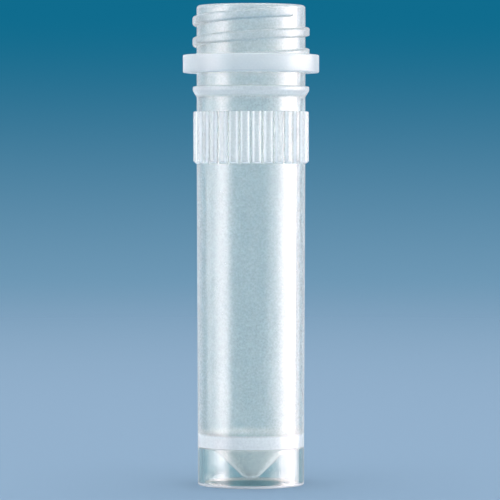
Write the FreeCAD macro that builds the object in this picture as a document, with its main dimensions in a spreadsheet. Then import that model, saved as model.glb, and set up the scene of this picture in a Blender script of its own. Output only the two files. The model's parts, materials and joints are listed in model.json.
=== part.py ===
"""Cryovial: a self-standing screw-cap sample tube, injection moulded in one piece.

A round, slightly tapered wall is closed near its foot by a conical floor.  The wall runs on below that
floor as a hollow skirt, so that the tube stands by itself.  From the mouth down, the outside carries a
single-start right-hand screw thread for the cap, a wide collar, a small bead and a ring of vertical grip
ribs.  Millimetres, +Z up, origin at the centre of the foot.
"""

import FreeCAD, Part
import os

import Sketcher

NODE = "cryovial_tube"

# The driving dimensions: alias, value, what it is.
SIZES = [
    ("tube_height", 47.0, "foot to rim"),
    ("neck_radius", 5.32, "outside of the neck and of the upper wall"),
    ("foot_radius", 5.21, "outside of the skirt at the foot"),
    ("bore_radius", 4.47, "inside of the mouth, where the cap's plug seals"),
    ("bore_depth", 7.0, "length of the straight bore below the rim"),
    ("floor_radius", 4.26, "inside of the wall where it meets the floor"),
    ("rim_round", 0.3, "rounding of the rim's outer edge"),
    ("mouth_round", 0.2, "rounding of the rim's inner edge"),
    ("thread_radius", 5.73, "crest of the cap thread"),
    ("thread_pitch", 2.05, "rise per turn"),
    ("thread_turns", 2.35, "length of the thread, its last part inside the collar"),
    ("thread_root", 0.98, "width of the thread where it leaves the neck"),
    ("thread_crest", 0.76, "width of the thread at its crest, before its edges are broken"),
    ("thread_break", 0.12, "how far the crest's two edges are broken back"),
    ("thread_sink", 0.15, "how far the thread is rooted in the wall"),
    ("thread_start", 46.22, "height of the thread's middle at its upper end"),
    ("thread_trim", 46.36, "height at which the upper end is cut level"),
    ("thread_azimuth", 316.0, "direction of the thread's upper end, in degrees from +X"),
    ("collar_radius", 6.67, "outside of the wide collar"),
    ("collar_bottom", 40.4, "underside of the collar"),
    ("collar_height", 1.75, "thickness of the collar"),
    ("collar_round", 0.12, "rounding of the collar's two edges"),
    ("bead_radius", 5.7, "outside of the small bead below the collar"),
    ("bead_top", 39.05, "upper edge of the bead"),
    ("bead_land", 0.42, "height of the bead's straight side"),
    ("bead_slope", 0.62, "height of the bead's tapered underside"),
    ("grip_radius", 5.65, "crest of the grip ribs"),
    ("grip_bottom", 31.5, "lower end of the grip ribs"),
    ("grip_height", 5.1, "length of the grip ribs"),
    ("grip_bevel", 0.25, "bevel at the ribs' lower ends"),
    ("grip_count", 30, "number of ribs and of grooves between them"),
    ("groove_width", 0.84, "width of a groove between two ribs, at their crests"),
    ("groove_floor", 0.16, "width of a groove's floor"),
    ("groove_radius", 5.33, "radius of a groove's floor"),
    ("groove_side", 0.9, "rounding of a groove's sides, which bulge into it"),
    ("floor_angle", 41.5, "half angle of the conical floor's upper side, in degrees"),
    ("floor_tip_radius", 1.3, "radius of its round tip"),
    ("floor_tip_height", 1.08, "height of that tip"),
    ("floor_round", 0.4, "rounding of the corner between wall and floor"),
    ("cone_angle", 46.0, "half angle of the floor's underside, in degrees"),
    ("cone_tip_radius", 1.5, "radius of its round tip"),
    ("cone_tip_height", 0.6, "clearance under that tip"),
    ("skirt_ceiling", 3.77, "height of the hollow under the floor"),
    ("skirt_radius", 4.66, "inside of the skirt at that ceiling"),
    ("skirt_mouth", 4.7, "inside of the skirt at the foot"),
    ("skirt_round", 0.15, "rounding of the hollow's upper corner"),
    ("foot_round", 0.12, "rounding of the foot's two edges"),
]

# Places worked out from the driving dimensions, as expressions on the sheet.
GRIP_TOP = "(Sizes.grip_bottom + Sizes.grip_height)"
COLLAR_TOP = "(Sizes.collar_bottom + Sizes.collar_height)"


def cone_touch(side):
    """Where a cone's straight side meets its round tip: radius and height, as expressions."""
    angle = f"(Sizes.{side}_angle * 1 deg)"
    radius = f"(Sizes.{side}_tip_radius * cos({angle}))"
    height = f"(Sizes.{side}_tip_height + Sizes.{side}_tip_radius * (1 - sin({angle})))"
    return radius, height


FLOOR_TOUCH = cone_touch("floor")
CONE_TOUCH = cone_touch("cone")
# The floor's upper side meets the wall at this height, and its underside the ceiling at this radius.
CORNER_Z = f"({FLOOR_TOUCH[1]} + (Sizes.floor_radius - {FLOOR_TOUCH[0]}) / tan(Sizes.floor_angle * 1 deg))"
CEILING_R = f"({CONE_TOUCH[0]} + (Sizes.skirt_ceiling - {CONE_TOUCH[1]}) * tan(Sizes.cone_angle * 1 deg))"

CLEAR = 1.0  # how far a cutting shape reaches past what it cuts
NEAR = 1e-4  # how close an edge must lie to the place it is looked for


def make_sheet(doc):
    """The spreadsheet that holds the driving dimensions, one row each."""
    sheet = doc.addObject("Spreadsheet::Sheet", "Sizes")
    for row, (alias, value, meaning) in enumerate(SIZES, start=1):
        sheet.set(f"A{row}", alias)
        sheet.set(f"B{row}", str(value))
        sheet.set(f"C{row}", meaning)
        sheet.setAlias(f"B{row}", alias)
    doc.recompute()
    return sheet


def value_of(expression):
    """What an expression on the sheet comes to, as a plain number."""
    found = FreeCAD.ActiveDocument.Sizes.evalExpression(expression.replace("Sizes.", ""))
    return float(getattr(found, "Value", found))


def make_body(doc, name):
    """An empty PartDesign body."""
    return doc.addObject("PartDesign::Body", name)


def make_sketch(body, name, role):
    """A sketch on one of the body's own origin planes."""
    sketch = body.newObject("Sketcher::SketchObject", name)
    plane = [p for p in body.Origin.OriginFeatures if p.Role == role][0]
    sketch.AttachmentSupport = [(plane, "")]
    sketch.MapMode = "FlatFace"
    return sketch


def pin_point(sketch, element, end, place):
    """Holds one end of an element at a place given by two expressions."""
    for axis, expression in zip(("X", "Y"), place):
        if expression == "0":
            line = -2 if axis == "X" else -1
            sketch.addConstraint(Sketcher.Constraint("PointOnObject", element, end, line))
            continue
        number = sketch.addConstraint(
            Sketcher.Constraint(f"Distance{axis}", -1, 1, element, end, value_of(expression))
        )
        sketch.setExpression(f"Constraints[{number}]", expression)


def draw_outline(sketch, places, arcs=None):
    """A closed outline through the places, with lines between them.

    arcs names the stretches that are round: {index of the stretch: (radius, bulge)}, where the radius is
    an expression and bulge is +1 if the arc bulges to the left of its direction of travel, or else -1.
    """
    arcs = arcs or {}
    corners = [FreeCAD.Vector(value_of(x), value_of(y), 0) for x, y in places]
    count = len(corners)
    for index, start in enumerate(corners):
        end = corners[(index + 1) % count]
        if index in arcs:
            radius, bulge = value_of(arcs[index][0]), arcs[index][1]
            chord = end - start
            left = FreeCAD.Vector(-chord.y, chord.x, 0).normalize()
            centre_to_chord = max(radius**2 - (chord.Length / 2) ** 2, 0.0) ** 0.5
            middle = (start + end) / 2 + left * (bulge * (radius - centre_to_chord))
            sketch.addGeometry(Part.Arc(start, middle, end), False)
        else:
            sketch.addGeometry(Part.LineSegment(start, end), False)
    ends = []
    for index, start in enumerate(corners):
        forward = (sketch.getPoint(index, 1) - start).Length < NEAR
        ends.append((1, 2) if forward else (2, 1))
    for index in range(count):
        following = (index + 1) % count
        sketch.addConstraint(
            Sketcher.Constraint("Coincident", index, ends[index][1], following, ends[following][0])
        )
        pin_point(sketch, index, ends[index][0], places[index])
    for index, (radius, _) in arcs.items():
        number = sketch.addConstraint(Sketcher.Constraint("Radius", index, value_of(radius)))
        sketch.setExpression(f"Constraints[{number}]", radius)


def turn(body, kind, name, places, arcs=None):
    """A solid of revolution about Z, added ("Revolution") or cut ("Groove")."""
    sketch = make_sketch(body, f"{name}_section", "XZ_Plane")
    draw_outline(sketch, places, arcs)
    feature = body.newObject(f"PartDesign::{kind}", name)
    feature.Profile = sketch
    feature.ReferenceAxis = (sketch, ["V_Axis"])
    feature.Angle = 360.0
    body.Tip = feature
    FreeCAD.ActiveDocument.recompute()
    return feature


def round_edges(body, name, radius, rings):
    """Rounds the circular edges that lie at the given radius and height."""
    base = body.Tip
    wanted = [(value_of(r), value_of(z)) for r, z in rings]
    names = []
    for number, edge in enumerate(base.Shape.Edges, start=1):
        if edge.Degenerated or not isinstance(edge.Curve, Part.Circle):
            continue
        centre = edge.Curve.Center
        on_axis = abs(centre.x) < NEAR and abs(centre.y) < NEAR
        for r, z in wanted:
            if on_axis and abs(edge.Curve.Radius - r) < NEAR and abs(centre.z - z) < NEAR:
                names.append(f"Edge{number}")
    if len(names) < len(rings):
        raise RuntimeError(f"{name}: {len(names)} edges found for {len(rings)} rings")
    feature = body.newObject("PartDesign::Fillet", name)
    feature.Base = (base, names)
    feature.setExpression("Radius", f"Sizes.{radius}")
    body.Tip = feature
    FreeCAD.ActiveDocument.recompute()
    return feature


def cuts(before, feature):
    """Stops the script if a cut took nothing away."""
    if feature.Shape.Volume > before - NEAR:
        raise RuntimeError(f"{feature.Name} cuts nothing")


def make_wall(body):
    """The outside of neck, wall and skirt, as one solid to be hollowed later."""
    turn(body, "Revolution", "Wall", [
        ("0", "0"),
        ("Sizes.foot_radius", "0"),
        ("Sizes.neck_radius", "Sizes.grip_bottom"),
        ("Sizes.neck_radius", "Sizes.tube_height"),
        ("0", "Sizes.tube_height"),
    ])
    round_edges(body, "RimRound", "rim_round", [("Sizes.neck_radius", "Sizes.tube_height")])


def make_collar(body):
    """The wide collar that the cap closes down to."""
    inside = "(Sizes.neck_radius - Sizes.thread_sink)"
    turn(body, "Revolution", "Collar", [
        (inside, "Sizes.collar_bottom"),
        ("Sizes.collar_radius", "Sizes.collar_bottom"),
        ("Sizes.collar_radius", COLLAR_TOP),
        (inside, COLLAR_TOP),
    ])
    round_edges(body, "CollarRound", "collar_round", [
        ("Sizes.collar_radius", "Sizes.collar_bottom"),
        ("Sizes.collar_radius", COLLAR_TOP),
    ])


def make_bead(body):
    """The small bead: a short straight side and a tapered underside."""
    inside = "(Sizes.neck_radius - Sizes.thread_sink)"
    land_bottom = "(Sizes.bead_top - Sizes.bead_land)"
    turn(body, "Revolution", "Bead", [
        (inside, f"({land_bottom} - Sizes.bead_slope)"),
        ("Sizes.neck_radius", f"({land_bottom} - Sizes.bead_slope)"),
        ("Sizes.bead_radius", land_bottom),
        ("Sizes.bead_radius", "Sizes.bead_top"),
        (inside, "Sizes.bead_top"),
    ])


def make_grip(body):
    """The ring of vertical grip ribs: a raised band, and a groove cut round it many times."""
    inside = "(Sizes.neck_radius - Sizes.thread_sink)"
    turn(body, "Revolution", "GripBand", [
        (inside, "Sizes.grip_bottom"),
        ("(Sizes.grip_radius - Sizes.grip_bevel)", "Sizes.grip_bottom"),
        ("Sizes.grip_radius", "(Sizes.grip_bottom + Sizes.grip_bevel)"),
        ("Sizes.grip_radius", GRIP_TOP),
        (inside, GRIP_TOP),
    ])
    doc = FreeCAD.ActiveDocument
    before = body.Tip.Shape.Volume
    sketch = make_sketch(body, "GripGroove_section", "XY_Plane")
    sketch.setExpression("AttachmentOffset.Base.z", f"{GRIP_TOP} + {CLEAR / 2}")
    floor = ("Sizes.groove_radius", "(Sizes.groove_floor / 2)")
    crest = ("Sizes.grip_radius", "(Sizes.groove_width / 2)")
    outer = (f"(Sizes.grip_radius + {CLEAR})", "(Sizes.groove_width / 2)")
    mirrored = [(x, f"-{y}") for x, y in (outer, crest, floor)]
    side = ("Sizes.groove_side", -1)
    draw_outline(sketch, [floor, crest, outer, *mirrored], arcs={0: side, 4: side})
    pocket = body.newObject("PartDesign::Pocket", "GripGroove")
    pocket.Profile = sketch
    pocket.setExpression("Length", f"Sizes.grip_height + {CLEAR}")
    body.Tip = pocket
    doc.recompute()
    cuts(before, pocket)
    pattern = body.newObject("PartDesign::PolarPattern", "GripGrooves")
    pattern.Originals = [pocket]
    pattern.Axis = (sketch, ["N_Axis"])
    pattern.Angle = 360.0
    pattern.setExpression("Occurrences", "Sizes.grip_count")
    body.Tip = pattern
    doc.recompute()


def make_bore(body):
    """The inside: a straight mouth, a slightly tapered bore and a conical floor with a round tip."""
    before = body.Tip.Shape.Volume
    groove = turn(body, "Groove", "Bore", [
        ("0", f"(Sizes.tube_height + {CLEAR})"),
        ("0", "Sizes.floor_tip_height"),
        FLOOR_TOUCH,
        ("Sizes.floor_radius", CORNER_Z),
        ("Sizes.bore_radius", "(Sizes.tube_height - Sizes.bore_depth)"),
        ("Sizes.bore_radius", f"(Sizes.tube_height + {CLEAR})"),
    ], arcs={1: ("Sizes.floor_tip_radius", -1)})
    cuts(before, groove)
    round_edges(body, "MouthRound", "mouth_round", [("Sizes.bore_radius", "Sizes.tube_height")])
    round_edges(body, "FloorRound", "floor_round", [("Sizes.floor_radius", CORNER_Z)])


def make_skirt(body):
    """The hollow under the floor, round the cone, open at the foot."""
    before = body.Tip.Shape.Volume
    groove = turn(body, "Groove", "SkirtHollow", [
        ("0", "0"),
        ("Sizes.skirt_mouth", "0"),
        ("Sizes.skirt_radius", "Sizes.skirt_ceiling"),
        (CEILING_R, "Sizes.skirt_ceiling"),
        CONE_TOUCH,
        ("0", "Sizes.cone_tip_height"),
    ], arcs={4: ("Sizes.cone_tip_radius", 1)})
    cuts(before, groove)
    round_edges(body, "SkirtRound", "skirt_round", [
        ("Sizes.skirt_radius", "Sizes.skirt_ceiling"),
        (CEILING_R, "Sizes.skirt_ceiling"),
    ])
    round_edges(body, "FootRound", "foot_round", [
        ("Sizes.foot_radius", "0"),
        ("Sizes.skirt_mouth", "0"),
    ])


def make_thread(doc):
    """The cap thread as a body of its own: a rib swept up a helix, its upper end cut level."""
    body = make_body(doc, "Thread")
    sketch = make_sketch(body, "ThreadRib_section", "XZ_Plane")
    middle = "(Sizes.thread_start - Sizes.thread_turns * Sizes.thread_pitch)"
    slope = "((Sizes.thread_root - Sizes.thread_crest) / 2 / (Sizes.thread_radius - Sizes.neck_radius))"
    inside = "(Sizes.neck_radius - Sizes.thread_sink)"
    root = f"(Sizes.thread_root / 2 + {slope} * Sizes.thread_sink)"
    shoulder = f"(Sizes.thread_crest / 2 + {slope} * Sizes.thread_break)"
    crest = "(Sizes.thread_crest / 2 - Sizes.thread_break)"
    draw_outline(sketch, [
        (inside, f"({middle} - {root})"),
        ("(Sizes.thread_radius - Sizes.thread_break)", f"({middle} - {shoulder})"),
        ("Sizes.thread_radius", f"({middle} - {crest})"),
        ("Sizes.thread_radius", f"({middle} + {crest})"),
        ("(Sizes.thread_radius - Sizes.thread_break)", f"({middle} + {shoulder})"),
        (inside, f"({middle} + {root})"),
    ])
    helix = body.newObject("PartDesign::AdditiveHelix", "ThreadRib")
    helix.Profile = sketch
    helix.ReferenceAxis = (sketch, ["V_Axis"])
    helix.Mode = "pitch-turns-angle"
    helix.setExpression("Pitch", "Sizes.thread_pitch")
    helix.setExpression("Turns", "Sizes.thread_turns")
    helix.LeftHanded = False
    helix.Reversed = False
    body.Tip = helix
    doc.recompute()
    before = helix.Shape.Volume
    trim = turn(body, "Groove", "ThreadTrim", [
        ("0", "Sizes.thread_trim"),
        (f"(Sizes.thread_radius + {CLEAR})", "Sizes.thread_trim"),
        (f"(Sizes.thread_radius + {CLEAR})", f"(Sizes.thread_trim + {CLEAR})"),
        ("0", f"(Sizes.thread_trim + {CLEAR})"),
    ])
    cuts(before, trim)
    body.Placement.Rotation = FreeCAD.Rotation(FreeCAD.Vector(0, 0, 1), 0)
    body.setExpression(
        "Placement.Rotation.Angle", "(Sizes.thread_azimuth - 360 * Sizes.thread_turns) * 1 deg"
    )
    doc.recompute()
    return body


def make_tube(doc):
    """The whole moulding: the turned body with its grip ribs, fused with its thread."""
    body = make_body(doc, "Tube")
    make_wall(body)
    make_collar(body)
    make_bead(body)
    make_grip(body)
    make_bore(body)
    make_skirt(body)
    tube = doc.addObject("Part::Fuse", "CryovialTube")
    tube.Base = body
    tube.Tool = make_thread(doc)
    tube.Label = NODE
    tube.Placement = FreeCAD.Placement()
    doc.recompute()
    return tube


def check(doc, subpart):
    """Stops the script if any object failed or the sub-part isn't one sound solid."""
    for item in doc.Objects:
        if {"Invalid", "Error"} & set(item.State):
            raise RuntimeError(f"{item.Name} is {item.State}")
    shape = subpart.Shape
    if shape.isNull() or not shape.isValid() or len(shape.Solids) != 1:
        raise RuntimeError(f"{subpart.Label} isn't one valid solid")


def main():
    doc = FreeCAD.newDocument("Cryovial")
    make_sheet(doc)
    tube = make_tube(doc)
    check(doc, tube)
    box = tube.Shape.optimalBoundingBox()
    print(f"{NODE}: {box.XLength:.2f} x {box.YLength:.2f} x {box.ZLength:.2f} mm")
    print(f"{NODE}: {tube.Shape.Volume:.1f} mm3 of plastic, {len(tube.Shape.Faces)} faces")
    os.makedirs("parts", exist_ok=True)
    tube.Shape.exportStep(f"parts/{tube.Label}.step")


main()
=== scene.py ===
# %% [markdown]
# # A self-standing cryovial
#
# This lesson dresses a small sample tube, injection moulded from natural polypropylene.  The packed
# model gives the tube's size and place.  Here its wall, grip ribs and cap thread are modelled finely
# enough to bend light cleanly, and a translucent material and a soft studio bring them out.

# %% Load the fixed frame
import json
import math

import bmesh
import bpy
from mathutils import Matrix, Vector


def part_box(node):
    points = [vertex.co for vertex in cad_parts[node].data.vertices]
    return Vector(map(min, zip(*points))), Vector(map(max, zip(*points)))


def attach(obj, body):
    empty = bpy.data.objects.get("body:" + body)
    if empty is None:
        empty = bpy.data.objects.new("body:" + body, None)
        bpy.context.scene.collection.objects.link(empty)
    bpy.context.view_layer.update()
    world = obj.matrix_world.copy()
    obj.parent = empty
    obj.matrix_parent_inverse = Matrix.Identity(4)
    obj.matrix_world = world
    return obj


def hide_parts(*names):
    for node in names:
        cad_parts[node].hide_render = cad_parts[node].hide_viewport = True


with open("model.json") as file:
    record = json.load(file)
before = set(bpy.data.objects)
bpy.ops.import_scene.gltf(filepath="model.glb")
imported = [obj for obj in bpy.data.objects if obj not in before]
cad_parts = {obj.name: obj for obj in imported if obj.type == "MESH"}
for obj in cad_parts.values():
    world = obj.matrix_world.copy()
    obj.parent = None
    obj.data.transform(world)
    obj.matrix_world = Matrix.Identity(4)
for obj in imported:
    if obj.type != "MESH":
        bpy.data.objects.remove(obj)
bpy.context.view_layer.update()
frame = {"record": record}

MM = 0.001
NODE = "cryovial_tube"
low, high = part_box(NODE)
print("tube from", [round(c / MM, 2) for c in low], "to", [round(c / MM, 2) for c in high], "mm")

# %% [markdown]
# ## The tube's main sizes
#
# A moulded tube is a turned shape, so a few radii and heights say nearly all of it.  The height, the
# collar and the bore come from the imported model, so that the two always agree.  The rest are the
# mould's own small dimensions, which are easier to read as names than as numbers spread over the code.

# %% Sizes from the frame and the mould
mounts = {mount["name"]: mount for mount in frame["record"]["mounts"]}
TUBE_HEIGHT = high.z
COLLAR_RADIUS = (high.x - low.x) / 2
BORE_RADIUS = mounts["neck_bore"]["dims"]["r_mm"] * MM
BORE_DEPTH = mounts["neck_bore"]["dims"]["length_mm"] * MM
NECK_RADIUS = 5.32 * MM
FOOT_RADIUS = 5.21 * MM
COLLAR_BOTTOM = TUBE_HEIGHT - 6.6 * MM
COLLAR_TOP = COLLAR_BOTTOM + 1.75 * MM
BEAD_RADIUS = 5.7 * MM
BEAD_TOP = COLLAR_BOTTOM - 1.35 * MM
GRIP_BOTTOM = 31.5 * MM
print("collar", round(COLLAR_RADIUS / MM, 2), "mm, bore", round(BORE_RADIUS / MM, 2), "mm in radius")

# %% [markdown]
# ## Helpers for working as by hand
#
# Each piece starts as a primitive and is shaped with edit-mode operators.  An operator acts on what is
# selected, so these helpers clear the selection, pick vertices by their place and measure what came
# out.  A piece's object always stays at the origin, unturned and unscaled, with its place in its mesh.


# %% Helpers: start, pick, measure
def start_fresh():
    """Leaves edit mode and deselects everything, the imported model's own objects too."""
    if bpy.context.object and bpy.context.object.mode == "EDIT":
        bpy.ops.object.mode_set(mode="OBJECT")
    bpy.ops.object.select_all(action="DESELECT")


def pick(test):
    """Selects exactly the vertices, and what they span, whose place passes the test."""
    mesh = bpy.context.edit_object.data
    shape = bmesh.from_edit_mesh(mesh)
    shape.select_mode = {"VERT"}
    bpy.context.tool_settings.mesh_select_mode = (True, False, False)
    for item in (*shape.faces, *shape.edges, *shape.verts):
        item.select = False
    for vertex in shape.verts:
        vertex.select = test(vertex.co)
    shape.select_flush_mode()
    bmesh.update_edit_mesh(mesh)
    return sum(vertex.select for vertex in shape.verts)


def near(*places, reach=0.01 * MM):
    """A test for pick: is a vertex at one of these places?"""
    targets = [Vector(place) for place in places]
    return lambda co: any((co - target).length < reach for target in targets)


def measure(piece):
    """Prints a piece's size and how many edges don't have exactly two faces."""
    shape = bmesh.new()
    shape.from_mesh(piece.data)
    loose = sum(not edge.is_manifold for edge in shape.edges)
    volume = shape.calc_volume() / MM**3
    size = [round(side / MM, 2) for side in piece.dimensions]
    print(f"{piece.name}: {size} mm, {len(shape.faces)} faces, {loose} open edges, {volume:.0f} mm3")
    shape.free()


start_fresh()
print("still selected:", len(bpy.context.selected_objects), "objects")

# %% [markdown]
# ## Drawing half the section
#
# Turning a profile is how both the mould and the mesh are best made.  A plane is merged to one vertex,
# which then works as a pen: each extrusion draws one straight edge of the half section.  The corners
# are rounded afterwards with a vertex bevel, because a moulded edge is never quite sharp, and that
# small radius is what catches the light.

# %% Helpers: the pen, the rounding and the turning
TURN_STEPS = 360
SEAM_REACH = 0.001 * MM


def draw_section(name, places, closed=False):
    """A chain of edges in the XZ plane through (radius, height) places; stays in edit mode."""
    start_fresh()
    bpy.ops.mesh.primitive_plane_add(size=MM, location=(0, 0, 0))
    bpy.context.object.name = name
    bpy.ops.object.mode_set(mode="EDIT")
    bpy.ops.mesh.merge(type="CENTER")
    bpy.ops.transform.translate(value=(places[0][0], 0, places[0][1]))
    for before, after in zip(places, places[1:]):
        step = (after[0] - before[0], 0, after[1] - before[1])
        bpy.ops.mesh.extrude_vertices_move(TRANSFORM_OT_translate={"value": step})
    if closed:
        pick(near(*[(places[end][0], 0, places[end][1]) for end in (0, -1)]))
        bpy.ops.mesh.edge_face_add()


def round_corners(radius, places, segments=4):
    """Rounds corners of the section: the radius, then the (radius, height) places."""
    found = pick(near(*[(r, 0, z) for r, z in places]))
    bpy.ops.mesh.bevel(offset=radius, offset_type="OFFSET", affect="VERTICES", segments=segments)
    print("corners rounded to", round(radius / MM, 2), "mm:", found)


def turn_section():
    """Spins the section once round the axis and closes the seam and the poles."""
    bpy.ops.mesh.select_all(action="SELECT")
    bpy.ops.mesh.spin(steps=TURN_STEPS, angle=2 * math.pi, center=(0, 0, 0), axis=(0, 0, 1))
    bpy.ops.mesh.select_all(action="SELECT")
    bpy.ops.mesh.remove_doubles(threshold=SEAM_REACH)
    bpy.ops.mesh.normals_make_consistent(inside=False)
    bpy.ops.object.mode_set(mode="OBJECT")


print("a turned section has", TURN_STEPS, "steps, one a degree")

# %% [markdown]
# ## The conical floor
#
# Above the hollow skirt the tube is closed by a cone with a round tip.  The cone's upper side is a
# little steeper than its underside, so the plastic thickens towards the wall.  A line that touches a
# circle leaves it at right angles to the circle's radius, which gives both touching points from the
# cone's half angle.


# %% Where the cone touches its round tip
def tip_arc(half_angle, radius, height, steps=8):
    """(radius, height) places round a cone's tip, from the axis to where the straight side starts."""
    centre = height + radius
    places = []
    for step in range(steps + 1):
        turn = (math.pi / 2 - half_angle) * step / steps
        places.append((radius * math.sin(turn), centre - radius * math.cos(turn)))
    return places


FLOOR_ANGLE = math.radians(41.5)
FLOOR_TIP_RADIUS = 1.3 * MM
FLOOR_TIP_HEIGHT = 1.08 * MM
FLOOR_RADIUS = 4.26 * MM
UNDERSIDE_ANGLE = math.radians(46)
UNDERSIDE_TIP_RADIUS = 1.5 * MM
UNDERSIDE_TIP_HEIGHT = 0.6 * MM
SKIRT_CEILING = 3.77 * MM
floor_tip = tip_arc(FLOOR_ANGLE, FLOOR_TIP_RADIUS, FLOOR_TIP_HEIGHT)
underside_tip = tip_arc(UNDERSIDE_ANGLE, UNDERSIDE_TIP_RADIUS, UNDERSIDE_TIP_HEIGHT)
corner_height = floor_tip[-1][1] + (FLOOR_RADIUS - floor_tip[-1][0]) / math.tan(FLOOR_ANGLE)
ceiling_radius = underside_tip[-1][0] + (SKIRT_CEILING - underside_tip[-1][1]) * math.tan(UNDERSIDE_ANGLE)
print(f"floor meets the wall {corner_height / MM:.2f} mm up")
print(f"underside meets the ceiling at radius {ceiling_radius / MM:.2f} mm")

# %% [markdown]
# ## The wall, turned in one go
#
# The wall's section has long plain stretches between small corners.  Each such stretch gets a few extra
# stops.  They keep a face from being a splinter, and they stop the shading of a rounded corner from
# spreading over the straight stretch beside it, where it would bend the light like a lens.

# %% Stops along the long sides
SHORT_SIDE = 1 * MM
LONGEST_LEAD = 0.5 * MM
STOP_SPACING = 4 * MM


def add_stops(corners):
    """Adds stops to the long sides: one near each end, and one every few millimetres between."""
    places = [corners[0]]
    for start, end in zip(corners, corners[1:]):
        side = Vector(end) - Vector(start)
        if side.length > SHORT_SIDE:
            lead = min(LONGEST_LEAD, side.length / 4)
            inner = side.length - 2 * lead
            steps = math.ceil(inner / STOP_SPACING)
            for step in range(steps + 1):
                places.append(tuple(Vector(start) + side.normalized() * (lead + inner * step / steps)))
        places.append(end)
    return places


print(f"sides longer than {SHORT_SIDE / MM:.0f} mm get stops up to {STOP_SPACING / MM:.0f} mm apart")

# %% [markdown]
# The pen runs from the tip of the underside out to the skirt, down to the foot, up the outside with
# its bead and collar, over the rim and down the bore to the floor.

# %% Draw the wall's half section
SKIRT_TOP = (4.66 * MM, SKIRT_CEILING)
SKIRT_FOOT = (4.7 * MM, 0)
FOOT_EDGE = (FOOT_RADIUS, 0)
BEAD_SIDE = BEAD_TOP - 0.42 * MM
BEAD_START = BEAD_SIDE - 0.62 * MM
FLOOR_CORNER = (FLOOR_RADIUS, corner_height)
BORE_START = TUBE_HEIGHT - BORE_DEPTH
section = add_stops([
    *underside_tip,
    (ceiling_radius, SKIRT_CEILING),
    SKIRT_TOP,
    SKIRT_FOOT,
    FOOT_EDGE,
    (NECK_RADIUS, GRIP_BOTTOM),
    (NECK_RADIUS, BEAD_START),
    (BEAD_RADIUS, BEAD_SIDE),
    (BEAD_RADIUS, BEAD_TOP),
    (NECK_RADIUS, BEAD_TOP),
    (NECK_RADIUS, COLLAR_BOTTOM),
    (COLLAR_RADIUS, COLLAR_BOTTOM),
    (COLLAR_RADIUS, COLLAR_TOP),
    (NECK_RADIUS, COLLAR_TOP),
    (NECK_RADIUS, TUBE_HEIGHT),
    (BORE_RADIUS, TUBE_HEIGHT),
    (BORE_RADIUS, BORE_START),
    FLOOR_CORNER,
    *reversed(floor_tip),
])
draw_section("wall", section)
print(len(section), "stops along the wall's section")

# %% [markdown]
# The rim and the corner of the floor get the largest radii, because the cap's seal and the liquid
# touch them.  The steps beside the bead and the collar are nearly sharp, as a turned mould leaves
# them.  Once its corners are round, the section is spun into the wall.

# %% Round the corners and turn the section
RIM_OUTSIDE = 0.3 * MM
RIM_INSIDE = 0.2 * MM
FLOOR_FILLET = 0.4 * MM
SKIRT_FILLET = 0.15 * MM
FOOT_ROUND = 0.12 * MM
COLLAR_ROUND = 0.12 * MM
BEAD_ROUND = 0.1 * MM
STEP_FILLET = 0.06 * MM
round_corners(RIM_OUTSIDE, [(NECK_RADIUS, TUBE_HEIGHT)], segments=6)
round_corners(RIM_INSIDE, [(BORE_RADIUS, TUBE_HEIGHT)], segments=5)
round_corners(FLOOR_FILLET, [FLOOR_CORNER], segments=6)
round_corners(SKIRT_FILLET, [SKIRT_TOP, (ceiling_radius, SKIRT_CEILING)])
round_corners(FOOT_ROUND, [SKIRT_FOOT, FOOT_EDGE])
round_corners(COLLAR_ROUND, [(COLLAR_RADIUS, COLLAR_BOTTOM), (COLLAR_RADIUS, COLLAR_TOP)])
round_corners(BEAD_ROUND, [(BEAD_RADIUS, BEAD_SIDE), (BEAD_RADIUS, BEAD_TOP), (NECK_RADIUS, BEAD_START)])
steps_beside = [(NECK_RADIUS, BEAD_TOP), (NECK_RADIUS, COLLAR_BOTTOM), (NECK_RADIUS, COLLAR_TOP)]
round_corners(STEP_FILLET, steps_beside, segments=3)
turn_section()
wall = bpy.context.object
measure(wall)

# %% [markdown]
# ## The ring of grip ribs
#
# Thirty ribs let gloved fingers hold the tube.  Each is flat-topped with round shoulders, because the
# sides of the grooves between them bulge into the groove.  A scalloped outline can be drawn point by
# point, but it is quicker to start from a circle with four vertices to every degree.  All the vertices
# that stand at the same turn from a groove's middle are picked together and scaled to the radius that
# the rib's shape has there.  This first cell works out that radius.

# %% The radius of the ribs' outline
GRIP_RADIUS = 5.65 * MM
GRIP_COUNT = 30
RIB_STEPS = 48
RIB_PITCH = 2 * math.pi / GRIP_COUNT
GROOVE_RADIUS = 5.33 * MM
HALF_GROOVE = 0.08 * MM
HALF_MOUTH = 0.42 * MM
FLANK_ROUND = 0.9 * MM
FRONT = -math.pi / 2

# The centre of the flank's arc, as (distance from the groove's middle, radius).
chord = Vector((HALF_MOUTH - HALF_GROOVE, GRIP_RADIUS - GROOVE_RADIUS))
inward = Vector((chord.y, -chord.x)).normalized()
flank_centre = (
    Vector((HALF_GROOVE, GROOVE_RADIUS))
    + chord / 2
    + inward * math.sqrt(FLANK_ROUND**2 - (chord.length / 2) ** 2)
)


def groove_turn(co):
    """How far, in radians, a vertex stands from the middle of the nearest groove."""
    turn = math.atan2(co.y, co.x) - FRONT
    return abs((turn + RIB_PITCH / 2) % RIB_PITCH - RIB_PITCH / 2)


def rib_radius(turn):
    """The outline's radius at a turn from the middle of a groove."""
    across = min(max(turn * GRIP_RADIUS, HALF_GROOVE), HALF_MOUTH)
    return flank_centre.y + math.sqrt(FLANK_ROUND**2 - (across - flank_centre.x) ** 2)


print(f"a rib every {math.degrees(RIB_PITCH):.0f} degrees, grooves {2 * HALF_MOUTH / MM:.2f} mm wide")

# %% [markdown]
# The circle is scaled step by step.  A pick test takes a quarter of a step either way, so it catches
# the vertices of one step and none of the next.

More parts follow.
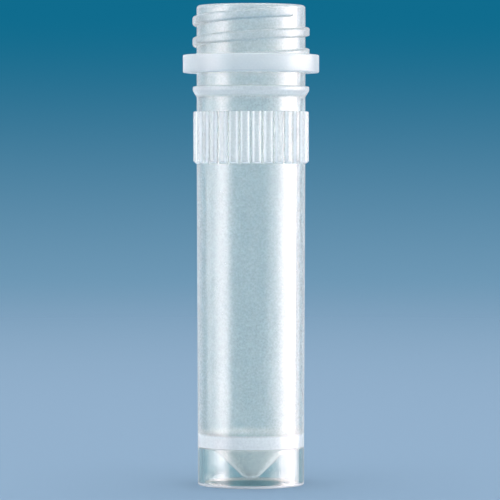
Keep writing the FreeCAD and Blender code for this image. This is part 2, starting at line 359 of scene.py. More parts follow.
# %% Shape the outline
GRIP_SPARE = 0.5 * MM
STEPS_PRINTED = 8
start_fresh()
bpy.ops.mesh.primitive_circle_add(
    vertices=GRIP_COUNT * RIB_STEPS, radius=GRIP_RADIUS, location=(0, 0, GRIP_BOTTOM - GRIP_SPARE)
)
grip = bpy.context.object
grip.name = "grip"
bpy.ops.object.transform_apply(location=True)
bpy.ops.object.mode_set(mode="EDIT")
for step in range(RIB_STEPS // 2 + 1):
    turn = RIB_PITCH * step / RIB_STEPS
    found = pick(lambda co: abs(groove_turn(co) - turn) < RIB_PITCH / RIB_STEPS / 4)
    scale = rib_radius(turn) / GRIP_RADIUS
    bpy.ops.transform.resize(value=(scale, scale, 1), center_override=(0, 0, 0))
    if step % STEPS_PRINTED == 0:
        print(f"{found} vertices at {math.degrees(turn):.1f} degrees: radius {rib_radius(turn) / MM:.3f} mm")

# %% [markdown]
# Extruding the outline straight up makes a ribbed bar, like a splined rod.  It is a little longer than
# the grip at both ends, so that the next step can trim it cleanly.

# %% Raise the outline into a ribbed bar and close both ends
GRIP_TOP = 36.6 * MM
bpy.ops.mesh.select_all(action="SELECT")
rise = GRIP_TOP - GRIP_BOTTOM + 2 * GRIP_SPARE
bpy.ops.mesh.extrude_edges_move(TRANSFORM_OT_translate={"value": (0, 0, rise)})
bpy.ops.mesh.select_all(action="SELECT")
bpy.ops.mesh.fill_holes(sides=0)
bpy.ops.mesh.select_all(action="SELECT")
bpy.ops.mesh.normals_make_consistent(inside=False)
bpy.ops.object.mode_set(mode="OBJECT")
measure(grip)

# %% [markdown]
# The ribs' lower ends are cut back at 45 degrees, so that the tube slides into a rack hole.  A turned
# blank has that bevel all round.  What the blank and the ribbed bar have in common is the finished
# ring, which a boolean intersection leaves.  The blank stands a little proud of the ribs, so that no
# two faces coincide.

# %% Turn the blank and keep what both share
GRIP_BEVEL = 0.25 * MM
GRIP_TOP_BREAK = 0.05 * MM
ROOT_RADIUS = NECK_RADIUS - 0.15 * MM
PROUD = 0.1 * MM
CUT_REACH = 0.002 * MM


def combine(whole, tool, operation):
    """Applies an exact boolean to a solid, merges the doubles it leaves and removes the tool."""
    start_fresh()
    whole.select_set(True)
    bpy.context.view_layer.objects.active = whole
    boolean = whole.modifiers.new(operation.lower(), "BOOLEAN")
    boolean.operation = operation
    boolean.solver = "EXACT"
    boolean.object = tool
    bpy.ops.object.modifier_apply(modifier=boolean.name)
    bpy.ops.object.mode_set(mode="EDIT")
    bpy.ops.mesh.select_all(action="SELECT")
    bpy.ops.mesh.remove_doubles(threshold=CUT_REACH)
    bpy.ops.object.mode_set(mode="OBJECT")
    bpy.data.objects.remove(tool)


draw_section("blank", [
    (ROOT_RADIUS, GRIP_BOTTOM),
    (GRIP_RADIUS - GRIP_BEVEL, GRIP_BOTTOM),
    (GRIP_RADIUS + PROUD, GRIP_BOTTOM + GRIP_BEVEL + PROUD),
    (GRIP_RADIUS + PROUD, GRIP_TOP - GRIP_TOP_BREAK - PROUD),
    (GRIP_RADIUS - GRIP_TOP_BREAK, GRIP_TOP),
    (ROOT_RADIUS, GRIP_TOP),
], closed=True)
turn_section()
combine(grip, bpy.context.object, "INTERSECT")
measure(grip)

# %% [markdown]
# ## The cap thread
#
# The thread is one rib, a little wider at its root, that climbs round the neck two and a third times.
# Its section is drawn once with the pen, sunk a little into the neck, and a Screw modifier carries it
# up the helix.  The lower end runs out inside the collar.

# %% Draw the thread's section
THREAD_RADIUS = 5.73 * MM
THREAD_PITCH = 2.05 * MM
THREAD_TURNS = 2.35
THREAD_ROOT = 0.98 * MM
THREAD_CREST = 0.76 * MM
THREAD_UPPER_END = TUBE_HEIGHT - 0.78 * MM
THREAD_ROUND = 0.14 * MM
thread_start = THREAD_UPPER_END - THREAD_TURNS * THREAD_PITCH
flank_slope = (THREAD_ROOT - THREAD_CREST) / 2 / (THREAD_RADIUS - NECK_RADIUS)
sunk_root = THREAD_ROOT / 2 + flank_slope * (NECK_RADIUS - ROOT_RADIUS)
draw_section("thread", [
    (ROOT_RADIUS, thread_start - sunk_root),
    (THREAD_RADIUS, thread_start - THREAD_CREST / 2),
    (THREAD_RADIUS, thread_start + THREAD_CREST / 2),
    (ROOT_RADIUS, thread_start + sunk_root),
], closed=True)
crests = [(THREAD_RADIUS, thread_start + side * THREAD_CREST / 2) for side in (-1, 1)]
round_corners(THREAD_ROUND, crests)
bpy.ops.object.mode_set(mode="OBJECT")
thread = bpy.context.object
print("thread lower end at height", round(thread_start / MM, 2), "mm")

# %% [markdown]
# A step every two and a half degrees keeps the helix round to the eye and its faces few.  The piece is
# then turned about the axis until the thread's upper end stands at the front on the right.

# %% Screw it up the neck
THREAD_STEPS = 144
THREAD_AZIMUTH = math.radians(316)
screw = thread.modifiers.new("helix", "SCREW")
screw.axis = "Z"
screw.angle = 2 * math.pi * THREAD_TURNS
screw.screw_offset = THREAD_TURNS * THREAD_PITCH
screw_steps = round(THREAD_STEPS * THREAD_TURNS)
screw.steps = screw.render_steps = screw_steps
screw.use_merge_vertices = False
bpy.ops.object.modifier_apply(modifier="helix")
thread.rotation_euler.z = THREAD_AZIMUTH - 2 * math.pi * THREAD_TURNS
bpy.ops.object.transform_apply(rotation=True)
print(screw_steps, "steps up the helix, ending", round(math.degrees(THREAD_AZIMUTH)), "degrees round")

# %% [markdown]
# The screw leaves both ends open, and a solid has to be closed before it can be united with another.
# The upper end is then cut level with a bisect, just below the rim, as the mould leaves it.

# %% Close the ends and cut the upper one level
THREAD_TRIM = TUBE_HEIGHT - 0.64 * MM
bpy.ops.object.mode_set(mode="EDIT")
bpy.ops.mesh.select_all(action="SELECT")
bpy.ops.mesh.fill_holes(sides=0)
bpy.ops.mesh.select_all(action="SELECT")
bpy.ops.mesh.normals_make_consistent(inside=False)
bpy.ops.mesh.bisect(plane_co=(0, 0, THREAD_TRIM), plane_no=(0, 0, 1), clear_outer=True)
bpy.ops.mesh.select_all(action="DESELECT")
bpy.ops.mesh.select_non_manifold()
bpy.ops.mesh.edge_face_add()
bpy.ops.object.mode_set(mode="OBJECT")
measure(thread)

# %% [markdown]
# ## One moulding
#
# The three shapes are one piece of plastic.  Light that enters a clear solid must find its true
# outside and nothing inside, so the ribs and the thread are united with the wall instead of only being
# pushed into it.  Smooth shading then runs over the round faces and stops at real corners.

# %% Unite wall, ribs and thread
SMOOTH_BELOW = math.radians(25)
combine(wall, grip, "UNION")
combine(wall, thread, "UNION")
tube = wall
tube.name = "tube_moulding"
bpy.ops.object.shade_smooth_by_angle(angle=SMOOTH_BELOW)
measure(tube)
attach(tube, "root")
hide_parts(NODE)

# %% [markdown]
# ## Node shorthand
#
# A procedural material is a tree of small sums, and wiring each by hand hides what it says.  A few
# helpers keep it readable.  The first add a Math node, a smooth ramp and a smooth step.


# %% Helpers: sums and ramps in a node tree
def tree_math(tree, operation, *values):
    """Adds a Math node fed by numbers or by other nodes' outputs."""
    node = tree.nodes.new("ShaderNodeMath")
    node.operation = operation
    for socket, value in zip(node.inputs, values):
        if isinstance(value, (int, float)):
            socket.default_value = value
        else:
            tree.links.new(value, socket)
    return node.outputs[0]


def tree_ramp(tree, value, start, end, low=0.0, high=1.0):
    """Rises smoothly from low to high as the value goes from start to end."""
    node = tree.nodes.new("ShaderNodeMapRange")
    node.interpolation_type = "SMOOTHSTEP"
    tree.links.new(value, node.inputs["Value"])
    for socket, setting in (("From Min", start), ("From Max", end), ("To Min", low), ("To Max", high)):
        node.inputs[socket].default_value = setting
    return node.outputs["Result"]


def tree_step(tree, value, place, blur, low=0.0, high=1.0):
    """Goes from low to high at a place, over a short blur on either side of it."""
    return tree_ramp(tree, value, place - blur, place + blur, low=low, high=high)


print("node helpers:", ", ".join(helper.__name__ for helper in (tree_math, tree_ramp, tree_step)))

# %% [markdown]
# The next ones read where on the piece a point lies, how far it is from the axis, and a cloudy noise
# there.  All use Object coordinates, so that a pattern stays with its piece.


# %% Helpers: clouds and places in a node tree
def tree_noise(tree, sizes):
    """Cloudy values about a half; sizes are the clouds' widths along x, y and z."""
    place = tree.nodes.new("ShaderNodeMapping")
    place.inputs["Scale"].default_value = [1 / size for size in sizes]
    tree.links.new(tree.nodes.new("ShaderNodeTexCoord").outputs["Object"], place.inputs["Vector"])
    noise = tree.nodes.new("ShaderNodeTexNoise")
    noise.inputs["Scale"].default_value = 1.0
    tree.links.new(place.outputs["Vector"], noise.inputs["Vector"])
    return noise.outputs["Fac"]


def place_parts(tree):
    """X, Y and Z of the point in the object's own frame, in metres."""
    place = tree.nodes.new("ShaderNodeTexCoord")
    split = tree.nodes.new("ShaderNodeSeparateXYZ")
    tree.links.new(place.outputs["Object"], split.inputs[0])
    return split.outputs["X"], split.outputs["Y"], split.outputs["Z"]


def axis_distance(tree, x, y):
    """How far the point lies from the upright axis."""
    squares = [tree_math(tree, "MULTIPLY", side, side) for side in (x, y)]
    return tree_math(tree, "SQRT", tree_math(tree, "ADD", *squares))


print("node helpers:", ", ".join(helper.__name__ for helper in (tree_noise, place_parts, axis_distance)))

# %% [markdown]
# ## Natural polypropylene
#
# Unfilled polypropylene is translucent: a thin wall only veils the light, while a thick place looks
# milky white.  A scattering volume inside the solid would be closest to nature, but it renders slowly
# and is lost when the model is exported.  So one Principled shader is used, whose transmission weight
# says how clear a place is, and what doesn't pass scatters just below the surface.  How milky a place
# is follows from how much plastic lies behind it, which on a turned part is a matter of height and
# radius, so the cells below add it up region by region.  The plain wall comes first: the skirt is the
# clearest, the body above it hazier, and the neck in between.


# %% Haze of the plain wall
SKIRT_HAZE = 0.03
WALL_HAZE = 0.16
NECK_WALL_HAZE = 0.1
HEIGHT_BLUR = 0.05 * MM


def wall_haze(tree, height, neck):
    """The wall's haze at a height; neck goes from 0 at the grip to 1 at the collar."""
    haze = tree_step(tree, height, SKIRT_CEILING, HEIGHT_BLUR, low=SKIRT_HAZE, high=WALL_HAZE)
    return tree_math(tree, "MULTIPLY_ADD", neck, NECK_WALL_HAZE - WALL_HAZE, haze)


print("haze:", SKIRT_HAZE, "in the skirt,", WALL_HAZE, "in the body,", NECK_WALL_HAZE, "in the neck")

# %% [markdown]
# The conical floor is a sheet with two faces at the same radii.  What tells them apart is on which side
# of the sheet's middle a point lies.  A cone with a round tip is well described by a hyperbola turned
# round the axis, which takes only one square root.  The underside is the hazier face.  A view that
# grazes the sheet crosses more plastic and sees more haze.


# %% Haze of the conical floor
CONE_SLOPE = 1.045
CONE_TIP = 0.6 * MM
CONE_MIDDLE = 0.162 * MM
FACE_BLUR = 0.03 * MM
UNDERSIDE_HAZE = 0.22
FLOOR_HAZE = 0.03
FLOOR_EDGE_BLUR = 0.1 * MM
CORNER_FADE = (corner_height - 0.4 * MM, corner_height + 0.2 * MM)
CONE_GRAZE = (0.2, 0.6)
CONE_GAIN = 2.0


def above_cone(tree, radius, height):
    """How high the point lies above the middle of the conical floor's sheet."""
    rounded = tree_math(tree, "ADD", tree_math(tree, "POWER", radius, 2.0), CONE_TIP**2)
    middle = tree_math(tree, "MULTIPLY_ADD", tree_math(tree, "SQRT", rounded), CONE_SLOPE, CONE_MIDDLE)
    return tree_math(tree, "SUBTRACT", height, middle)


def cone_haze(tree, radius, height, above, facing):
    """The haze of the sheet's two faces, inside the wall and below the floor's corner only."""
    faces = tree_step(tree, above, 0.0, FACE_BLUR, low=UNDERSIDE_HAZE, high=FLOOR_HAZE)
    inside_wall = tree_step(tree, radius, FLOOR_RADIUS, FLOOR_EDGE_BLUR, low=1.0, high=0.0)
    below_corner = tree_ramp(tree, height, *CORNER_FADE, low=1.0, high=0.0)
    cone = tree_math(tree, "MULTIPLY", faces, tree_math(tree, "MULTIPLY", inside_wall, below_corner))
    grazed = tree_ramp(tree, facing, *CONE_GRAZE, low=1.0, high=CONE_GAIN)
    return tree_math(tree, "MULTIPLY", cone, grazed)


print("the sheet's middle crosses the axis", round((CONE_TIP * CONE_SLOPE + CONE_MIDDLE) / MM, 2), "mm up")

# %% [markdown]
# The melt streams up the wall as the mould fills, and it freezes into crystals of uneven size.
# The first leaves long, faint streaks, the second a fine mottle.  Painted specks would have to be placed
# one by one, so both are cloudy noise on Object coordinates, and the streaks are noise drawn out upright.


# %% Flow streaks and mottle
FLOW_SIZE = (5 * MM, 5 * MM, 14 * MM)
FLOW_SWING = 0.3
FLOW_LEAST = 0.85
MOTTLE_SIZE = (0.2 * MM, 0.2 * MM, 0.2 * MM)
MOTTLE_SWING = 1.3
MOTTLE_LEAST = 0.35


def unevenness(tree):
    """A factor near one: the streaks times the mottle."""
    flow = tree_math(tree, "MULTIPLY_ADD", tree_noise(tree, FLOW_SIZE), FLOW_SWING, FLOW_LEAST)
    mottle = tree_math(tree, "MULTIPLY_ADD", tree_noise(tree, MOTTLE_SIZE), MOTTLE_SWING, MOTTLE_LEAST)
    return tree_math(tree, "MULTIPLY", flow, mottle)


print("mottle from", MOTTLE_LEAST, "to", MOTTLE_LEAST + MOTTLE_SWING, "times the haze")

# %% [markdown]
# Whatever stands out from the wall is thicker and so milkier: the bead and the collar clearly, the slim
# thread hardly.  A grip rib is whitest on its flanks, where light enters from the groove and scatters
# out again.  Radius alone finds the flanks, since they lie between the groove's bottom and the crest.


# %% Milk of the ribs, bead, collar and thread
RAISED_MILK = 0.45
THREAD_MILK = 0.06
RIB_MILK = 0.3
FLANK_MILK = 0.9
FLANK_FOOT = (GROOVE_RADIUS, GROOVE_RADIUS + 0.08 * MM)
FLANK_TOP = (GRIP_RADIUS - 0.1 * MM, GRIP_RADIUS - 0.02 * MM)
ABOVE_GRIP = (GRIP_TOP, GRIP_TOP + 0.2 * MM)


def rib_milk(tree, radius):
    """The milk of the grip's ribs: more on their flanks than on their crests."""
    past_groove = tree_ramp(tree, radius, *FLANK_FOOT)
    below_crest = tree_ramp(tree, radius, *FLANK_TOP, low=1.0, high=0.0)
    flank = tree_math(tree, "MULTIPLY", past_groove, below_crest)
    return tree_math(tree, "MULTIPLY_ADD", flank, FLANK_MILK - RIB_MILK, RIB_MILK)


def raised_milk(tree, radius, height):
    """The milk of all that stands out from the wall, by height."""
    upper = tree_step(tree, height, COLLAR_TOP, HEIGHT_BLUR, low=RAISED_MILK, high=THREAD_MILK)
    ribs = rib_milk(tree, radius)
    above_grip = tree_ramp(tree, height, *ABOVE_GRIP)
    return tree_math(tree, "MULTIPLY_ADD", above_grip, tree_math(tree, "SUBTRACT", upper, ribs), ribs)


print("flanks milky from radius", round(GROOVE_RADIUS / MM, 2), "to", round(GRIP_RADIUS / MM, 2), "mm")

# %% [markdown]
# Four more places hold extra plastic or scatter at an edge: the junction where floor and wall meet, the
# rim, the outer edge of the foot, and the tip of the cone.  Each is a ramp in height or radius, or two
# multiplied.


# %% Milk of the junction, the rim, the foot and the tip
JUNCTION_MILK = 0.66
JUNCTION_FADE = (corner_height - 0.35 * MM, corner_height - 0.05 * MM)
RIM_MILK = 0.1
RIM_RISE = (TUBE_HEIGHT - 0.4 * MM, TUBE_HEIGHT - 0.3 * MM)
FOOT_MILK = 0.95
FOOT_FADE = (0.2 * MM, 0.32 * MM)
FOOT_RIM = (FOOT_RADIUS - 0.25 * MM, FOOT_RADIUS - 0.1 * MM)
TIP_MILK = 0.7
TIP_FADE = (0.4 * MM, 1.2 * MM)


def junction_milk(tree, height):
    """The band where the conical floor runs into the wall."""
    above_skirt = tree_step(tree, height, SKIRT_CEILING, HEIGHT_BLUR)
    below_corner = tree_ramp(tree, height, *JUNCTION_FADE, low=JUNCTION_MILK, high=0.0)
    return tree_math(tree, "MULTIPLY", above_skirt, below_corner)


def end_milk(tree, radius, height, above):
    """The milkiest of the rim, the foot's outer edge and the underside of the cone's tip."""
    rim = tree_ramp(tree, height, *RIM_RISE, high=RIM_MILK)
    low_down = tree_ramp(tree, height, *FOOT_FADE, low=FOOT_MILK, high=0.0)
    foot = tree_math(tree, "MULTIPLY", low_down, tree_ramp(tree, radius, *FOOT_RIM))
    near_axis = tree_ramp(tree, radius, *TIP_FADE, low=TIP_MILK, high=0.0)
    underside = tree_step(tree, above, 0.0, FACE_BLUR, low=1.0, high=0.0)
    tip = tree_math(tree, "MULTIPLY", near_axis, underside)
    return tree_math(tree, "MAXIMUM", tree_math(tree, "MAXIMUM", rim, foot), tip)


print("junction from", round(SKIRT_CEILING / MM, 2), "to", round(JUNCTION_FADE[1] / MM, 2), "mm up")

# %% [markdown]
# What is the same all over the piece is set on the shader's own sockets: how strongly the plastic bends
# light, and how far light travels in it before it comes out again.  Only the white varies, because the
# mottle blends a shaded white with a bright one.


# %% The plastic's constants and its white
REFRACTIVE_INDEX = 1.49
SCATTER_DEPTH = 1.5 * MM
EVEN_SCATTER = (1.0, 1.0, 1.0)
SHADED_WHITE = (0.80, 0.86, 0.86, 1)
BRIGHT_WHITE = (0.94, 0.99, 0.98, 1)


def blend_colours(tree, factor, first, second):
    """A colour between two others, which are colours or other nodes' outputs."""
    blend = tree.nodes.new("ShaderNodeMix")
    blend.data_type = "RGBA"
    tree.links.new(factor, blend.inputs["Factor"])
    for socket, colour in ((blend.inputs["A"], first), (blend.inputs["B"], second)):
        if isinstance(colour, tuple):
            socket.default_value = colour
        else:
            tree.links.new(colour, socket)
    return blend.outputs["Result"]


def plain_plastic():
    """A new material and its shader, still equally clear and smooth all over."""
    material = bpy.data.materials.new("natural_polypropylene")
    material.use_nodes = True
    tree = material.node_tree
    shader = tree.nodes["Principled BSDF"]
    shader.inputs["IOR"].default_value = REFRACTIVE_INDEX
    shader.inputs["Subsurface Weight"].default_value = 1.0
    shader.inputs["Subsurface Radius"].default_value = EVEN_SCATTER
    shader.inputs["Subsurface Scale"].default_value = SCATTER_DEPTH
    white = blend_colours(tree, tree_noise(tree, MOTTLE_SIZE), SHADED_WHITE, BRIGHT_WHITE)
    tree.links.new(white, shader.inputs["Base Color"])
    return material, shader


print("light scatters over about", round(SCATTER_DEPTH / MM, 1), "mm")

# %% [markdown]
# Now the regions are added up.  A glance along the wall crosses more plastic than one straight through
# it, so the haze also grows with the slant of the view, as it does in the real wall.  Where several
# kinds of milk overlap, the strongest counts.  What is left after haze and milk is how clear the place
# is.


# %% Add up haze and milk
NECK_RISE = (GRIP_TOP, COLLAR_BOTTOM)
NECK_HAZE = 0.1
GRAZE = (0.4, 1.0)
EDGE_GAIN = 4.0


def clearness(tree, radius, height, raised):
    """How much light passes, from 0 to 1; raised is 1 on all that stands out from the wall."""
    above = above_cone(tree, radius, height)
    neck = tree_ramp(tree, height, *NECK_RISE)
    view = tree.nodes.new("ShaderNodeLayerWeight")
    view.inputs["Blend"].default_value = 0.5
    facing = view.outputs["Facing"]
    cone = cone_haze(tree, radius, height, above, facing)
    haze = tree_math(tree, "ADD", wall_haze(tree, height, neck), cone)
    haze = tree_math(tree, "MULTIPLY", haze, unevenness(tree))
    haze = tree_math(tree, "MULTIPLY", haze, tree_ramp(tree, facing, *GRAZE, low=1.0, high=EDGE_GAIN))
    milk = tree_math(tree, "MULTIPLY", raised, raised_milk(tree, radius, height))
    milk = tree_math(tree, "MAXIMUM", milk, junction_milk(tree, height))
    milk = tree_math(tree, "MAXIMUM", milk, end_milk(tree, radius, height, above))
    milk = tree_math(tree, "MULTIPLY_ADD", neck, NECK_HAZE, milk)
    veil = tree_math(tree, "ADD", haze, milk)
    return tree_math(tree, "MAXIMUM", tree_math(tree, "SUBTRACT", 1.0, veil), 0.0)


print("a grazing view sees up to", EDGE_GAIN, "times the haze")

# %% [markdown]
# The raised parts come out of the mould a little rougher than the polished wall, the collar most of
# all, which spreads their highlights.  One roughness for the wall and two extras on top say that.  With
# that the material is complete and goes on the tube.


# %% The tube's material
RAISED_RISE = (NECK_RADIUS + 0.01 * MM, NECK_RADIUS + 0.2 * MM)
COLLAR_RISE = (THREAD_RADIUS, THREAD_RADIUS + 0.2 * MM)
WALL_ROUGHNESS = 0.08
RAISED_EXTRA = 0.14
COLLAR_EXTRA = 0.06


def polypropylene():
    """Milky where the plastic is thick, clear where it is thin."""
    material, shader = plain_plastic()
    tree = material.node_tree
    x, y, height = place_parts(tree)
    radius = axis_distance(tree, x, y)
    raised = tree_ramp(tree, radius, *RAISED_RISE)
    clear = clearness(tree, radius, height, raised)
    tree.links.new(clear, shader.inputs["Transmission Weight"])
    satin = tree_math(tree, "MULTIPLY_ADD", raised, RAISED_EXTRA, WALL_ROUGHNESS)
    collar = tree_ramp(tree, radius, *COLLAR_RISE, high=COLLAR_EXTRA)
    tree.links.new(tree_math(tree, "ADD", satin, collar), shader.inputs["Roughness"])
    return material


tube.data.materials.clear()
tube.data.materials.append(polypropylene())
print("material slots:", [slot.name for slot in tube.material_slots])

# %% [markdown]
# ## The studio floor
#
# The tube stands on a matt, pale blue floor that takes its shadow.  Clear plastic bends the view down
# to the floor as well, and there, near the tube, the floor has a deeper colour: painted shade under and
# round the foot, so that the tube doesn't glow.  Further out the floor turns transparent, first for rays
# that come through the plastic and later for the camera's own.  A floor with an edge would draw a horizon
# across the view, and this one has none.


# %% The floor's material
FLOOR_COLOUR = (0.34, 0.48, 0.62, 1)
# Painted shade: a deeper floor colour, shown only where the floor is seen through the plastic, under and
# round the foot.
FLOOR_PAINTED_SHADE = (0.21, 0.44, 0.50, 1)
CAMERA_FADE = (0.03, 0.6)
THROUGH_FADE = (0.006, 0.02)


def floor_material():
    """Matt and pale near the tube, with painted shade where seen through the plastic; clear further out."""
    material = bpy.data.materials.new("pale_floor")
    material.use_nodes = True
    tree = material.node_tree
    path = tree.nodes.new("ShaderNodeLightPath")
    from_camera = path.outputs["Is Camera Ray"]
    through_plastic = path.outputs["Is Transmission Ray"]
    matt = tree.nodes.new("ShaderNodeBsdfDiffuse")
    # Rays that come through the plastic see the painted shade instead of the pale floor.
    colour = blend_colours(tree, through_plastic, FLOOR_COLOUR, FLOOR_PAINTED_SHADE)
    tree.links.new(colour, matt.inputs["Color"])
    clear = tree.nodes.new("ShaderNodeBsdfTransparent")
    x, y, z = place_parts(tree)
    reach = axis_distance(tree, x, y)
    to_camera = tree_math(tree, "MULTIPLY", tree_ramp(tree, reach, *CAMERA_FADE), from_camera)
    to_plastic = tree_math(tree, "MULTIPLY", tree_ramp(tree, reach, *THROUGH_FADE), through_plastic)
    mix = tree.nodes.new("ShaderNodeMixShader")
    tree.links.new(tree_math(tree, "MAXIMUM", to_camera, to_plastic), mix.inputs["Fac"])
    tree.links.new(matt.outputs[0], mix.inputs[1])
    tree.links.new(clear.outputs[0], mix.inputs[2])
    tree.links.new(mix.outputs[0], tree.nodes["Material Output"].inputs["Surface"])
    return material


print("the floor turns clear for the camera between", CAMERA_FADE[0], "and", CAMERA_FADE[1], "m out")

# %% [markdown]
# The floor itself is one flat disc, far wider than the view.  It is left out of reflections, where the
# surround's even light does better.

# %% Lay the floor
FLOOR_EXTENT = 6
FLOOR_SIDES = 96
start_fresh()
bpy.ops.mesh.primitive_circle_add(
    vertices=FLOOR_SIDES, radius=FLOOR_EXTENT, fill_type="NGON", location=(0, 0, 0)
)
studio_floor = bpy.context.object
studio_floor.name = "studio_floor"
studio_floor.data.materials.append(floor_material())
studio_floor.visible_glossy = False
print("floor", round(studio_floor.dimensions.x), "m across")

# %% [markdown]
# ## The surround
#
# Behind the tube hangs a paper backdrop that is pale blue at the bottom and deep blue above.  A real
# one could be built and lit, but the world can show the same with no lamp spilling on it.  A ramp over
# the height of the view's direction blends two colours.  The plastic shows a calmer, darker ramp,
# because it bends each ray another way.  All other light is one soft grey blue that fills the room.

# %% Surround
BACKDROP_LOW = (0.25, 0.42, 0.59, 1)
BACKDROP_HIGH = (0.005, 0.15, 0.27, 1)
BACKDROP_RISE = (-0.095, 0.045)
THROUGH_LOW = (0.165, 0.36, 0.46, 1)
THROUGH_HIGH = (0.12, 0.28, 0.38, 1)
THROUGH_RISE = (0.0, 0.12)
ROOM_LIGHT = (0.55, 0.60, 0.67, 1)
world = bpy.data.worlds.new("surround")
bpy.context.scene.world = world
world.use_nodes = True
sky = world.node_tree
lighting = sky.nodes["Background"]
lighting.inputs["Color"].default_value = ROOM_LIGHT
seen = sky.nodes.new("ShaderNodeBackground")
sky_path = sky.nodes.new("ShaderNodeLightPath")
from_camera = sky_path.outputs["Is Camera Ray"]
directly = tree_math(sky, "MAXIMUM", from_camera, sky_path.outputs["Is Transmission Ray"])
upward = place_parts(sky)[2]
backdrop = blend_colours(sky, tree_ramp(sky, upward, *BACKDROP_RISE), BACKDROP_LOW, BACKDROP_HIGH)
through = blend_colours(sky, tree_ramp(sky, upward, *THROUGH_RISE), THROUGH_LOW, THROUGH_HIGH)
sky.links.new(blend_colours(sky, from_camera, through, backdrop), seen.inputs["Color"])
switch = sky.nodes.new("ShaderNodeMixShader")
sky.links.new(directly, switch.inputs["Fac"])
sky.links.new(lighting.outputs[0], switch.inputs[1])
sky.links.new(seen.outputs[0], switch.inputs[2])
sky.links.new(switch.outputs[0], sky.nodes["World Output"].inputs["Surface"])
band = [round(math.degrees(math.asin(rise)), 1) for rise in BACKDROP_RISE]
print("the backdrop deepens from", band[0], "to", band[1], "degrees above the horizontal")

# %% [markdown]
# ## The lamps
#
# Tall soft lamps draw the long highlights down the wall.  A round wall shows a lamp at about half the
# lamp's bearing, counted from the camera's side, so a lamp well to the right shows halfway out on the
# right.  A plain softbox gives a highlight with hard sides.  Here each lamp has a profile instead, a
# list of its radiance at bearings from one side to the other, and a colour ramp across the lamp's face
# turns it into feathered sides.


# %% Helpers: feather a lamp and hang it
LAMP_LOW = -0.10
LAMP_HIGH = 0.12
LAMP_DISTANCE = 0.30


def feather(lamp, profile, middle, half_width, strongest):
    """Wires a ramp across the lamp's face, with a stop for each bearing of the profile."""
    lamp.use_nodes = True
    tree = lamp.node_tree
    across = tree.nodes.new("ShaderNodeSeparateXYZ")
    tree.links.new(tree.nodes.new("ShaderNodeNewGeometry").outputs["Parametric"], across.inputs[0])
    level = tree.nodes.new("ShaderNodeValToRGB")
    tree.links.new(across.outputs["X"], level.inputs["Fac"])
    stops = level.color_ramp.elements
    while len(stops) < len(profile):
        stops.new(0.5)
    for stop, (bearing, radiance) in zip(stops, profile):
        offset = LAMP_DISTANCE * math.tan(math.radians(bearing - middle))
        stop.position = 0.5 + 0.5 * offset / half_width
        stop.color = [radiance / strongest] * 3 + [1]
    tree.links.new(level.outputs["Color"], tree.nodes["Emission"].inputs["Strength"])


def hang(name, lamp, place):
    """Puts a lamp in the scene at a place, out of the camera's sight."""
    holder = bpy.data.objects.new(name, lamp)
    bpy.context.scene.collection.objects.link(holder)
    holder.location = place
    holder.visible_camera = False
    return holder


print("lamps reach from", LAMP_LOW, "to", LAMP_HIGH, "m,", LAMP_DISTANCE, "m from the tube")

# %% [markdown]
# A soft lamp stands upright, square to the line from its middle to the tube.  Its width follows from
# its first and last bearing and its power from its area, so that the profile alone says how bright it
# looks.


# %% A soft lamp from its profile
def soft_light(name, profile, colour):
    """A lamp that faces the tube; the profile lists its radiance at bearings from first to last."""
    bearings = [bearing for bearing, radiance in profile]
    strongest = max(radiance for bearing, radiance in profile)
    middle = (bearings[0] + bearings[-1]) / 2
    half_width = LAMP_DISTANCE * math.tan(math.radians(bearings[-1] - middle))
    lamp = bpy.data.lights.new(name, "AREA")
    lamp.shape = "RECTANGLE"
    lamp.size = 2 * half_width
    lamp.size_y = LAMP_HIGH - LAMP_LOW
    lamp.energy = strongest * math.pi * lamp.size * lamp.size_y
    lamp.color = colour
    if len(profile) > 2:
        feather(lamp, profile, middle, half_width, strongest)
    turn = math.radians(middle)
    height = (LAMP_LOW + LAMP_HIGH) / 2
    holder = hang(name, lamp, (LAMP_DISTANCE * math.sin(turn), -LAMP_DISTANCE * math.cos(turn), height))
    toward = Vector((0, 0, height)) - holder.location
    holder.rotation_euler = toward.to_track_quat("-Z", "Y").to_euler()
    print(f"{name}: bearings {bearings[0]} to {bearings[-1]}, {lamp.energy:.2f} W")
    return holder


# %% [markdown]
# Two kinds of lamp share the work.  A gloss lamp shows only as a highlight, on the wall and through it.
# A fill lamp only brightens the milky plastic.  Light linking lets it reach the tube alone, and keeps
# the tube from shading its own inside, since real plastic passes the light on.  With the two kinds
# apart, highlights and milk can be set without touching each other.


# %% Gloss lamps and fill lamps
FILL_COLOUR = (1.0, 0.92, 0.90)
GLOSS_COLOUR = (1.0, 0.80, 0.78)
unshaded = bpy.data.collections.new("unshaded")
for item in (tube, studio_floor):
    unshaded.objects.link(item)
for entry in unshaded.collection_objects:
    entry.light_linking.link_state = "EXCLUDE"
plastic = bpy.data.collections.new("plastic")
plastic.objects.link(tube)


def gloss_light(name, profile):
    """A lamp that shows as a highlight, on the wall and through it."""
    holder = soft_light(name, profile, GLOSS_COLOUR)
    holder.visible_diffuse = False


def fill_light(name, start, end, radiance):
    """A lamp that only lights the milky plastic, the inner walls too."""
    holder = soft_light(name, [(start, radiance), (end, radiance)], FILL_COLOUR)
    holder.visible_glossy = False
    holder.visible_transmission = False
    holder.light_linking.receiver_collection = plastic
    holder.light_linking.blocker_collection = unshaded


# %% [markdown]
# The key lamp stands to the right and draws the broad highlight there.  The rim lamp on the left draws
# a narrower one.  Three fill lamps stand to the left, to the right and behind, and a weak lamp overhead
# lights the floor round the foot.

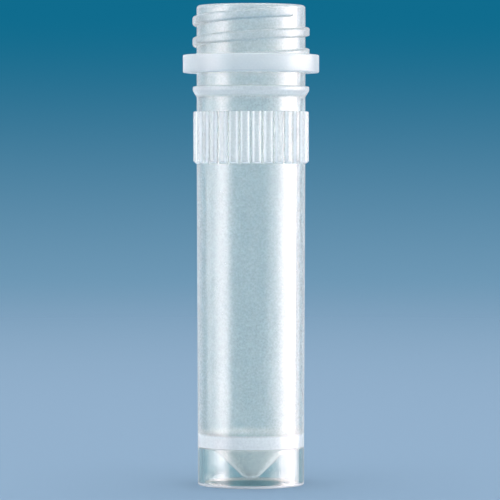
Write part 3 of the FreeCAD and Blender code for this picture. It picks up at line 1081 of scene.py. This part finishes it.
# %% Hang the lamps
KEY_RIGHT = [
    (28, 0), (37, 0.3), (46, 0.7), (55, 1.5), (63, 3), (67, 5.5),
    (70, 9), (105, 9), (110, 5), (120, 3.4), (128, 2.4),
]
RIM_LEFT = [
    (-112, 0.4), (-108, 1), (-88, 1.1), (-80, 3.4), (-69, 6),
    (-54, 4.2), (-48, 1.4), (-42, 0.4), (-35, 0),
]
SIDE_FILL = 3.3
BACK_FILL = 3.2
OVERHEAD_RADIANCE = 1.8
OVERHEAD_SIZE = 0.5
OVERHEAD_HEIGHT = 0.6
gloss_light("key_right", KEY_RIGHT)
gloss_light("rim_left", RIM_LEFT)
fill_light("fill_back", -180, -150, BACK_FILL)
fill_light("fill_left", -107, -77, SIDE_FILL)
fill_light("fill_right", 45, 75, SIDE_FILL)
top = bpy.data.lights.new("overhead", "AREA")
top.shape = "RECTANGLE"
top.size = OVERHEAD_SIZE
top.size_y = OVERHEAD_SIZE
top.energy = OVERHEAD_RADIANCE * math.pi * OVERHEAD_SIZE**2
hang("overhead", top, (0, 0, OVERHEAD_HEIGHT))
print(f"overhead: {top.energy:.2f} W")

# %% [markdown]
# ## The camera
#
# A long lens from about a third of a metre looks very slightly down on the tube, so the rim and the
# collar show from just below and the foot from above.  The lens follows from the distance and from how
# wide a field the frame should cover.

# %% Camera
CAMERA_DISTANCE = 327.1 * MM
CAMERA_HEIGHT = 31.9 * MM
AIM = Vector((-0.1 * MM, 0, TUBE_HEIGHT * 0.49))
FRAME_WIDTH = 49.07 * MM
SENSOR_WIDTH = 36
NEAREST_SEEN = 0.01
camera = bpy.data.cameras.new("camera")
camera.sensor_width = SENSOR_WIDTH
camera.lens = SENSOR_WIDTH * CAMERA_DISTANCE / FRAME_WIDTH
camera.clip_start = NEAREST_SEEN
viewpoint = bpy.data.objects.new("camera", camera)
bpy.context.scene.collection.objects.link(viewpoint)
viewpoint.location = (0, -CAMERA_DISTANCE, CAMERA_HEIGHT)
look = (AIM - viewpoint.location).to_track_quat("-Z", "Y")
viewpoint.rotation_euler = look.to_euler()
bpy.context.scene.camera = viewpoint
bpy.context.scene.view_settings.view_transform = "Standard"
print("lens", round(camera.lens), "mm")
